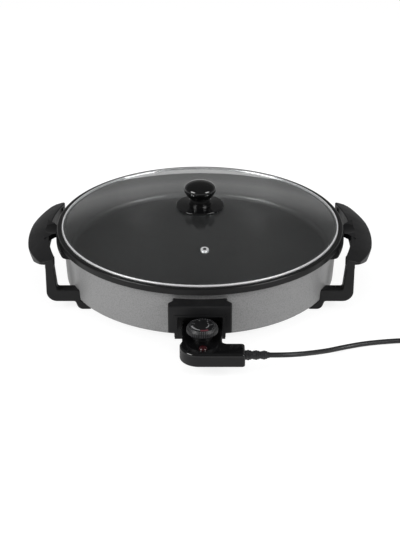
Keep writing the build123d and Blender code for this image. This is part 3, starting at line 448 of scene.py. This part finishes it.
# Moulded finishes: two near colours, a range of roughness, grain per metre and its depth
mouldedFinishes = {
    "satinBlack": {"dark": (0.004, 0.004, 0.0045), "light": (0.008, 0.008, 0.0085), "rough": (0.34, 0.48),
                   "grain": 1500.0, "cloud": 45.0, "depth": 0.00012, "shine": 0.3},
    "glossBlack": {"dark": (0.002, 0.002, 0.0022), "light": (0.004, 0.004, 0.0043), "rough": (0.05, 0.12),
                   "grain": 700.0, "cloud": 35.0, "depth": 0.00002, "shine": 0.5},
    # The dial's ribs: a grey of painted sheen, lighter than the black plastic they are moulded in
    "ribSheenGrey": {"dark": (0.022, 0.022, 0.023), "light": (0.04, 0.04, 0.042), "rough": (0.46, 0.58),
                "grain": 1500.0, "cloud": 200.0, "depth": 0.00004, "shine": 0.4},
    "softSilicone": {"dark": (0.025, 0.025, 0.026), "light": (0.04, 0.04, 0.041), "rough": (0.6, 0.72),
                     "grain": 1800.0, "cloud": 50.0, "depth": 0.0001, "shine": 0.35},
    "leadRubber": {"dark": (0.007, 0.007, 0.008), "light": (0.014, 0.014, 0.015), "rough": (0.36, 0.5),
                   "grain": 1300.0, "cloud": 90.0, "depth": 0.00012, "shine": 0.45},
    "firedCeramic": {"dark": (0.62, 0.6, 0.55), "light": (0.74, 0.72, 0.68), "rough": (0.45, 0.6),
                     "grain": 1600.0, "cloud": 80.0, "depth": 0.00008, "shine": 0.5},
    "printGrey": {"dark": (0.13, 0.13, 0.134), "light": (0.2, 0.2, 0.205), "rough": (0.5, 0.6),
                  "grain": 2500.0, "cloud": 400.0, "depth": 0.00002, "shine": 0.4},
    "printRed": {"dark": (0.07, 0.014, 0.02), "light": (0.11, 0.024, 0.034), "rough": (0.5, 0.6),
                 "grain": 2500.0, "cloud": 400.0, "depth": 0.00002, "shine": 0.4},
}


def buildMoulded(name, look):
    material, tree, shader = openMaterial(name)
    grain = placeGrain(tree, look)
    colour = mixColours(tree, grain.outputs["Cloud"], look["dark"], look["light"])
    tree.links.new(colour, shader.inputs["Base Color"])
    tree.links.new(ranged(tree, placeMarks(tree), look["rough"]), shader.inputs["Roughness"])
    bumped(tree, shader, grain.outputs["Height"], grainSetup["bump"], look["depth"])
    shader.inputs["Specular IOR Level"].default_value = look["shine"]
    return material


# Non-stick coating: a little lighter up the wall with painted sheen, in place of the reflections and softbox
# highlights there; darker and duller on the rolled rim
nonStick = {
    "grain": 1100.0, "cloud": 30.0, "depth": 0.00005, "rough": (0.28, 0.36),
    "floor": ((0.006, 0.006, 0.0065), (0.0095, 0.0095, 0.01)),
    # The wall's colours are painted sheen: the same coating as the floor, painted lighter
    "wall": ((0.036, 0.036, 0.037), (0.046, 0.046, 0.047)),
    "rim": ((0.003, 0.003, 0.0032), (0.005, 0.005, 0.0052)),
    "wallHeights": (0.0468, 0.056), "rimRadii": (0.1996, 0.2008), "shines": (0.7, 0.3),
}


def buildNonStick(look):
    material, tree, shader = openMaterial("nonStick")
    nodes, links = tree.nodes, tree.links
    grain = placeGrain(tree, look)
    coords = nodes.new("ShaderNodeTexCoord")
    split = nodes.new("ShaderNodeSeparateXYZ")
    links.new(coords.outputs["Object"], split.inputs[0])
    # Painted sheen mask: lightens the coating from the wall's foot upwards
    paintedSheenUpWall = ranged(tree, split.outputs["Z"], (0.0, 1.0), look["wallHeights"])
    onRim = ranged(tree, axisReach(tree), (0.0, 1.0), look["rimRadii"])
    zones = ("floor", "wall", "rim")
    floor, wall, rim = (mixColours(tree, grain.outputs["Cloud"], *look[zone]) for zone in zones)
    inside = mixColours(tree, paintedSheenUpWall, floor, wall)
    links.new(mixColours(tree, onRim, inside, rim), shader.inputs["Base Color"])
    links.new(ranged(tree, onRim, look["shines"]), shader.inputs["Specular IOR Level"])
    links.new(ranged(tree, placeMarks(tree), look["rough"]), shader.inputs["Roughness"])
    bumped(tree, shader, grain.outputs["Height"], grainSetup["bump"], look["depth"])
    return material


# Metals: colour, range of roughness, turned lines per metre, how deep they read and how mirror-like they are
metalFinishes = {
    "polishedSteel": {"dark": (0.76, 0.76, 0.77), "light": (0.86, 0.86, 0.87), "rough": (0.3, 0.44),
                      "lines": 3000.0, "depth": 0.00002, "marks": 60.0, "metallic": 0.55},
    "platedMetal": {"dark": (0.76, 0.76, 0.76), "light": (0.86, 0.86, 0.85), "rough": (0.32, 0.44),
                    "lines": 1500.0, "depth": 0.00001, "marks": 60.0, "metallic": 0.5},
    "bareAluminium": {"dark": (0.58, 0.58, 0.59), "light": (0.7, 0.7, 0.71), "rough": (0.3, 0.46),
                      "lines": 2200.0, "depth": 0.00003, "marks": 60.0, "metallic": 1.0},
    "bareBrass": {"dark": (0.6, 0.42, 0.14), "light": (0.74, 0.54, 0.2), "rough": (0.22, 0.36),
                  "lines": 2000.0, "depth": 0.00002, "marks": 60.0, "metallic": 1.0},
}


def buildMetal(name, look):
    material, tree, shader = openMaterial(name)
    line = placeGroup(tree, turnedLines, {"Density": look["lines"]}).outputs["Line"]
    colour = mixColours(tree, placeMarks(tree, look["marks"]), look["light"], look["dark"])
    tree.links.new(colour, shader.inputs["Base Color"])
    tree.links.new(ranged(tree, line, look["rough"]), shader.inputs["Roughness"])
    bumped(tree, shader, line, linesSetup["bump"], look["depth"])
    shader.inputs["Metallic"].default_value = look["metallic"]
    return material


# The vent's eyelet: plated metal, with painted shade inside its bore, which is coloured dark and not
# metallic
eyeletLook = {
    "axis": (0.00641, -0.12233, 0.0), "boreRadii": (0.0021, 0.0031),
    "bore": (0.012, 0.012, 0.012), "plated": (0.7, 0.7, 0.71),
    "rough": (0.34, 0.46), "marks": 200.0, "metallic": 0.5,
}


def buildEyelet(look):
    material, tree, shader = openMaterial("eyeletMetal")
    outside = ranged(tree, axisReach(tree, look["axis"]), (0.0, 1.0), look["boreRadii"])
    # Painted shade fills the bore, plated metal lies outside it
    colour = mixColours(tree, outside, look["bore"], look["plated"])
    tree.links.new(colour, shader.inputs["Base Color"])
    rough = ranged(tree, placeMarks(tree, look["marks"]), look["rough"])
    tree.links.new(rough, shader.inputs["Roughness"])
    tree.links.new(ranged(tree, outside, (0.0, look["metallic"])), shader.inputs["Metallic"])
    return material


# Grey hammer paint of the casing: small flat cells between finer dark seams
hammerPaint = {
    "cells": 620.0, "smoothness": 0.6, "randomness": 1.0, "seamSpan": (0.25, 0.75),
    "grain": 900.0, "cloud": 25.0, "grainSpan": (0.3, 0.7), "grainGain": (0.2, 1.2),
    "seam": (0.195, 0.195, 0.197), "cell": (0.272, 0.272, 0.272),
    "rough": (0.34, 0.5), "metallic": 0.2, "bump": 0.35, "depth": -0.00025,
}


def buildHammerPaint(look):
    material, tree, shader = openMaterial("hammerGrey")
    nodes, links = tree.nodes, tree.links
    coords = nodes.new("ShaderNodeTexCoord")
    grain = placeGrain(tree, look)
    cells = nodes.new("ShaderNodeTexVoronoi")
    cells.feature = "SMOOTH_F1"
    cells.inputs["Scale"].default_value = look["cells"]
    cells.inputs["Smoothness"].default_value = look["smoothness"]
    cells.inputs["Randomness"].default_value = look["randomness"]
    links.new(coords.outputs["Object"], cells.inputs["Vector"])
    seams = ranged(tree, cells.outputs["Distance"], (0.0, 1.0), look["seamSpan"])
    gain = ranged(tree, grain.outputs["Height"], look["grainGain"], look["grainSpan"])
    speckle = treeMath(tree, "MULTIPLY", seams, gain)
    links.new(mixColours(tree, speckle, look["cell"], look["seam"]), shader.inputs["Base Color"])
    links.new(ranged(tree, grain.outputs["Cloud"], look["rough"]), shader.inputs["Roughness"])
    shader.inputs["Metallic"].default_value = look["metallic"]
    bumped(tree, shader, speckle, look["bump"], look["depth"])
    return material


# Lid glass: clear for lamp and bounced light, so that the dish is lit through it
glassLook = {
    "tint": (0.965, 0.98, 0.975), "clear": (0.9, 0.91, 0.905), "index": 1.5,
    "rough": (0.0, 0.02), "marks": 14.0,
}


def buildLidGlass(look):
    material, tree, shader = openMaterial("temperedGlass")
    nodes, links = tree.nodes, tree.links
    rough = ranged(tree, placeMarks(tree, look["marks"]), look["rough"])
    links.new(rough, shader.inputs["Roughness"])
    shader.inputs["Base Color"].default_value = (*look["tint"], 1.0)
    shader.inputs["IOR"].default_value = look["index"]
    shader.inputs["Transmission Weight"].default_value = 1.0
    lightPath = nodes.new("ShaderNodeLightPath")
    rays = lightPath.outputs
    lampOrBounce = treeMath(tree, "MAXIMUM", rays["Is Shadow Ray"], rays["Is Diffuse Ray"])
    clear = nodes.new("ShaderNodeBsdfTransparent")
    clear.inputs["Color"].default_value = (*look["clear"], 1.0)
    surface = mixShaders(tree, lampOrBounce, shader.outputs[0], clear.outputs[0])
    links.new(surface, nodes["Material Output"].inputs["Surface"])
    return material


# Red lens over the lamp, and the lamp's own glass
colouredGlass = {
    "lensRed": {"deep": (0.011, 0.0007, 0.0012), "light": (0.026, 0.0018, 0.003), "rough": (0.08, 0.16),
                "grain": 900.0, "cloud": 160.0, "marks": 120.0, "through": 0.1, "index": 1.49},
    "lampGlass": {"deep": (0.5, 0.36, 0.3), "light": (0.62, 0.46, 0.4), "rough": (0.05, 0.12),
                  "grain": 900.0, "cloud": 160.0, "marks": 120.0, "through": 0.6, "index": 1.49},
}


def buildColouredGlass(name, look):
    material, tree, shader = openMaterial(name)
    colour = mixColours(tree, placeGrain(tree, look).outputs["Cloud"], look["deep"], look["light"])
    tree.links.new(colour, shader.inputs["Base Color"])
    rough = ranged(tree, placeMarks(tree, look["marks"]), look["rough"])
    tree.links.new(rough, shader.inputs["Roughness"])
    shader.inputs["Transmission Weight"].default_value = look["through"]
    shader.inputs["IOR"].default_value = look["index"]
    return material


finishes = {name: buildMoulded(name, look) for name, look in mouldedFinishes.items()}
finishes.update({name: buildMetal(name, look) for name, look in metalFinishes.items()})
finishes.update({name: buildColouredGlass(name, look) for name, look in colouredGlass.items()})
finishes["nonStick"] = buildNonStick(nonStick)
finishes["eyeletMetal"] = buildEyelet(eyeletLook)
finishes["hammerGrey"] = buildHammerPaint(hammerPaint)
finishes["temperedGlass"] = buildLidGlass(glassLook)

# The record's material slots and the finish that each one gets, and two nodes that differ from their slot
slotFinish = {
    "nonstick": "nonStick", "casing_grey": "hammerGrey", "handle_black": "satinBlack",
    "gloss_black": "glossBlack", "lid_glass": "temperedGlass", "steel": "polishedSteel",
    "bright_metal": "platedMetal", "aluminium": "bareAluminium", "brass": "bareBrass",
    "ceramic": "firedCeramic", "silicone": "softSilicone", "cord_black": "leadRubber",
    "lens_red": "lensRed", "lamp_glass": "lampGlass",
}
nodeFinish = {"vent_eyelet": "eyeletMetal", "dial_knob": "satinBlack"}
for part in frame["record"]["subparts"]:
    node = frame["nodes"][part["node"]]
    node.data.materials.clear()
    node.data.materials.append(finishes[nodeFinish.get(part["node"], slotFinish[part["material_slot"]])])
mainsLead.data.materials.append(finishes["leadRubber"])
print("finishes laid:", len(finishes))


# Trees that grow repeated details, each turned into a plain mesh; a value's type names its socket
socketTypes = {tuple: "NodeSocketVector", int: "NodeSocketInt", float: "NodeSocketFloat"}


def openTree(name, values):
    tree = bpy.data.node_groups.new(name, "GeometryNodeTree")
    tree.interface.new_socket("Geometry", in_out="OUTPUT", socket_type="NodeSocketGeometry")
    for label, value in values.items():
        tree.interface.new_socket(label, in_out="INPUT", socket_type=socketTypes[type(value)])
    return tree, tree.nodes.new("NodeGroupInput"), tree.nodes.new("NodeGroupOutput")


def closeTree(tree, output, geometry, finish):
    realize = tree.nodes.new("GeometryNodeRealizeInstances")
    paint = tree.nodes.new("GeometryNodeSetMaterial")
    paint.inputs["Material"].default_value = finish
    tree.links.new(geometry, realize.inputs["Geometry"])
    tree.links.new(realize.outputs["Geometry"], paint.inputs["Geometry"])
    tree.links.new(paint.outputs["Geometry"], output.inputs["Geometry"])


def addPiece(name, mesh, body):
    piece = bpy.data.objects.new(name, mesh)
    scene.collection.objects.link(piece)
    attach(piece, body)
    return piece


def growPiece(name, tree, values, body):
    seed = bpy.data.objects.new(name + "Seed", bpy.data.meshes.new(name + "Seed"))
    scene.collection.objects.link(seed)
    modifier = seed.modifiers.new("grow", "NODES")
    modifier.node_group = tree
    for item in tree.interface.items_tree:
        if item.item_type == "SOCKET" and item.in_out == "INPUT":
            modifier[item.identifier] = values[item.name]
    grown = seed.evaluated_get(bpy.context.evaluated_depsgraph_get())
    mesh = bpy.data.meshes.new_from_object(grown)
    bpy.data.objects.remove(seed)
    return addPiece(name, mesh, body)


def movedBy(tree, geometry, offset):
    node = tree.nodes.new("GeometryNodeTransform")
    tree.links.new(geometry, node.inputs["Geometry"])
    tree.links.new(offset, node.inputs["Translation"])
    return node.outputs["Geometry"]


dialAxis = (0.003, -0.2415)  # the dial's ribs, ticks and print lie round it

# Grip ribs of the dial: round bars up its side, and the same bars leaning in over its bevel
dialRibs = {
    "Centre": (*dialAxis, 0.0), "Count": 44, "Bar Radius": 0.00075, "Bar Sides": 12,
    "Side Reach": 0.02033, "Side Height": 0.0491, "Side Length": 0.0048,
    "Bevel Reach": 0.01888, "Bevel Height": 0.05328, "Bevel Length": 0.0042, "Bevel Lean": -0.6435,
}


def buildDialRibs(values, finish):
    tree, start, end = openTree("dialRibs", values)
    nodes, links = tree.nodes, tree.links
    joined = nodes.new("GeometryNodeJoinGeometry")
    index = nodes.new("GeometryNodeInputIndex").outputs[0]
    turn = treeMath(tree, "MULTIPLY", index, treeMath(tree, "DIVIDE", math.tau, start.outputs["Count"]))
    for row, lean in (("Side", 0.0), ("Bevel", start.outputs["Bevel Lean"])):
        ring = nodes.new("GeometryNodeMeshCircle")
        links.new(start.outputs["Count"], ring.inputs["Vertices"])
        links.new(start.outputs[row + " Reach"], ring.inputs["Radius"])
        bar = nodes.new("GeometryNodeMeshCylinder")
        links.new(start.outputs["Bar Sides"], bar.inputs["Vertices"])
        links.new(start.outputs["Bar Radius"], bar.inputs["Radius"])
        links.new(start.outputs[row + " Length"], bar.inputs["Depth"])
        spread = nodes.new("GeometryNodeInstanceOnPoints")
        links.new(ring.outputs["Mesh"], spread.inputs["Points"])
        links.new(bar.outputs["Mesh"], spread.inputs["Instance"])
        links.new(treeVector(tree, 0.0, lean, turn), spread.inputs["Rotation"])
        height = treeVector(tree, 0.0, 0.0, start.outputs[row + " Height"])
        links.new(movedBy(tree, spread.outputs["Instances"], height), joined.inputs[0])
    placed = movedBy(tree, joined.outputs["Geometry"], start.outputs["Centre"])
    closeTree(tree, end, placed, finish)
    return growPiece("dialRibs", tree, values, "dial")


# The ribs take the painted-sheen grey
buildDialRibs(dialRibs, finishes["ribSheenGrey"])

# Bridges between the strain relief's ribs, by turns above and below, and in front and behind
reliefBridges = {
    "Start": (0.0630866, -0.273, 0.028), "Count": 5, "Pitch": 0.0053167, "Reach": 0.0055, "Shrink": 0.0345,
    "Bridge": (0.0029, 0.0052, 0.0017),
}


def buildReliefBridges(values, finish):
    tree, start, end = openTree("reliefBridges", values)
    nodes, links = tree.nodes, tree.links
    pair = nodes.new("GeometryNodeJoinGeometry")
    for side in (-1.0, 1.0):
        bridge = nodes.new("GeometryNodeMeshCube")
        links.new(start.outputs["Bridge"], bridge.inputs["Size"])
        height = treeMath(tree, "MULTIPLY", start.outputs["Reach"], side)
        lifted = movedBy(tree, bridge.outputs["Mesh"], treeVector(tree, 0.0, 0.0, height))
        links.new(lifted, pair.inputs[0])
    row = nodes.new("GeometryNodeMeshLine")
    links.new(start.outputs["Count"], row.inputs["Count"])
    links.new(start.outputs["Start"], row.inputs["Start Location"])
    links.new(treeVector(tree, start.outputs["Pitch"], 0.0, 0.0), row.inputs["Offset"])
    index = nodes.new("GeometryNodeInputIndex").outputs[0]
    spread = nodes.new("GeometryNodeInstanceOnPoints")
    links.new(row.outputs["Mesh"], spread.inputs["Points"])
    links.new(pair.outputs["Geometry"], spread.inputs["Instance"])
    quarter = treeMath(tree, "MULTIPLY", treeMath(tree, "MODULO", index, 2.0), math.pi / 2)
    links.new(treeVector(tree, quarter, 0.0, 0.0), spread.inputs["Rotation"])
    slim = treeMath(tree, "SUBTRACT", 1.0, treeMath(tree, "MULTIPLY", index, start.outputs["Shrink"]))
    links.new(treeVector(tree, 1.0, slim, slim), spread.inputs["Scale"])
    closeTree(tree, end, spread.outputs["Instances"], finish)
    return growPiece("reliefBridges", tree, values, "thermostat")


buildReliefBridges(reliefBridges, finishes["leadRubber"])

# Ticks of the dial's scale
dialTicks = {
    "Centre": (*dialAxis, 0.05561), "Count": 21, "Reach": 0.0163, "First": -0.62, "Step": 0.2165,
    "Tick": (0.0016, 0.0005, 0.00006),
}


def buildDialTicks(values, finish):
    tree, start, end = openTree("dialTicks", values)
    nodes, links = tree.nodes, tree.links
    index = nodes.new("GeometryNodeInputIndex").outputs[0]
    passed = treeMath(tree, "MULTIPLY", index, start.outputs["Step"])
    turn = treeMath(tree, "ADD", start.outputs["First"], passed)
    row = nodes.new("GeometryNodeMeshLine")
    links.new(start.outputs["Count"], row.inputs["Count"])
    across, along = (
        treeMath(tree, "MULTIPLY", treeMath(tree, wave, turn), start.outputs["Reach"])
        for wave in ("COSINE", "SINE")
    )
    bend = nodes.new("GeometryNodeSetPosition")
    links.new(row.outputs["Mesh"], bend.inputs["Geometry"])
    links.new(treeVector(tree, across, along, 0.0), bend.inputs["Position"])
    tick = nodes.new("GeometryNodeMeshCube")
    links.new(start.outputs["Tick"], tick.inputs["Size"])
    spread = nodes.new("GeometryNodeInstanceOnPoints")
    links.new(bend.outputs["Geometry"], spread.inputs["Points"])
    links.new(tick.outputs["Mesh"], spread.inputs["Instance"])
    links.new(treeVector(tree, 0.0, 0.0, turn), spread.inputs["Rotation"])
    placed = movedBy(tree, spread.outputs["Instances"], start.outputs["Centre"])
    closeTree(tree, end, placed, finish)
    return growPiece("dialTicks", tree, values, "dial")


buildDialTicks(dialTicks, finishes["printGrey"])

# Figures and bands printed on the dial's top; the grey bands taper, and the red one marks off
dialPrint = {
    "centre": (*dialAxis, 0.0556),
    "thickness": 0.00006,
    "bandSteps": 24,
    "figureSize": 0.0042,
    "figureReach": 0.0122,
    "figures": [("1", 215.0), ("2", 162.0), ("3", 109.0), ("4", 56.0), ("5", 3.0)],
    "greyBands": [
        {"from": -170.0, "to": -102.0, "inner": (0.0126, 0.0134), "outer": (0.0154, 0.0154)},
        {"from": -60.0, "to": 40.0, "inner": (0.0084, 0.0084), "outer": (0.0098, 0.0089)},
    ],
    "redBands": [{"from": -98.0, "to": -60.0, "inner": (0.0142, 0.0136), "outer": (0.0172, 0.0172)}],
}


def addBand(mesh, band, setup):
    x, y, z = setup["centre"]
    rows = []
    for step in range(setup["bandSteps"] + 1):
        share = step / setup["bandSteps"]
        angle = math.radians(band["from"] + (band["to"] - band["from"]) * share)
        ends = [low + (high - low) * share for low, high in (band["inner"], band["outer"])]
        rows.append([
            mesh.verts.new((x + reach * math.cos(angle), y + reach * math.sin(angle), z + lift))
            for lift in (0.0, setup["thickness"]) for reach in ends
        ])
    for near, far in zip(rows, rows[1:]):
        for first, second in ((0, 1), (1, 3), (3, 2), (2, 0)):
            mesh.faces.new((near[first], near[second], far[second], far[first]))
    for row in (rows[0], rows[-1]):
        mesh.faces.new((row[0], row[1], row[3], row[2]))


def addFigure(mesh, text, angle, setup):
    curve = bpy.data.curves.new("dialFigure", "FONT")
    curve.body = text
    curve.size = setup["figureSize"]
    curve.align_x = "CENTER"
    curve.align_y = "CENTER"
    curve.extrude = setup["thickness"] / 2
    shape = bpy.data.objects.new("dialFigure", curve)
    flat = bpy.data.meshes.new_from_object(shape)
    turn = Matrix.Rotation(math.radians(angle - 90.0), 4, "Z")
    reach = Vector((0.0, setup["figureReach"], setup["thickness"] / 2))
    flat.transform(Matrix.Translation(setup["centre"]) @ turn @ Matrix.Translation(reach))
    mesh.from_mesh(flat)
    bpy.data.objects.remove(shape)
    bpy.data.meshes.remove(flat)


def buildPrint(name, setup, bands, figures, finish):
    mesh = bmesh.new()
    for band in bands:
        addBand(mesh, band, setup)
    for text, angle in figures:
        addFigure(mesh, text, angle, setup)
    bmesh.ops.recalc_face_normals(mesh, faces=mesh.faces)
    printed = bpy.data.meshes.new(name)
    mesh.to_mesh(printed)
    mesh.free()
    printed.materials.append(finish)
    return addPiece(name, printed, "dial")


buildPrint("dialFigures", dialPrint, dialPrint["greyBands"], dialPrint["figures"], finishes["printGrey"])
buildPrint("dialOffMark", dialPrint, dialPrint["redBands"], [], finishes["printRed"])
print("dial and strain relief dressed")
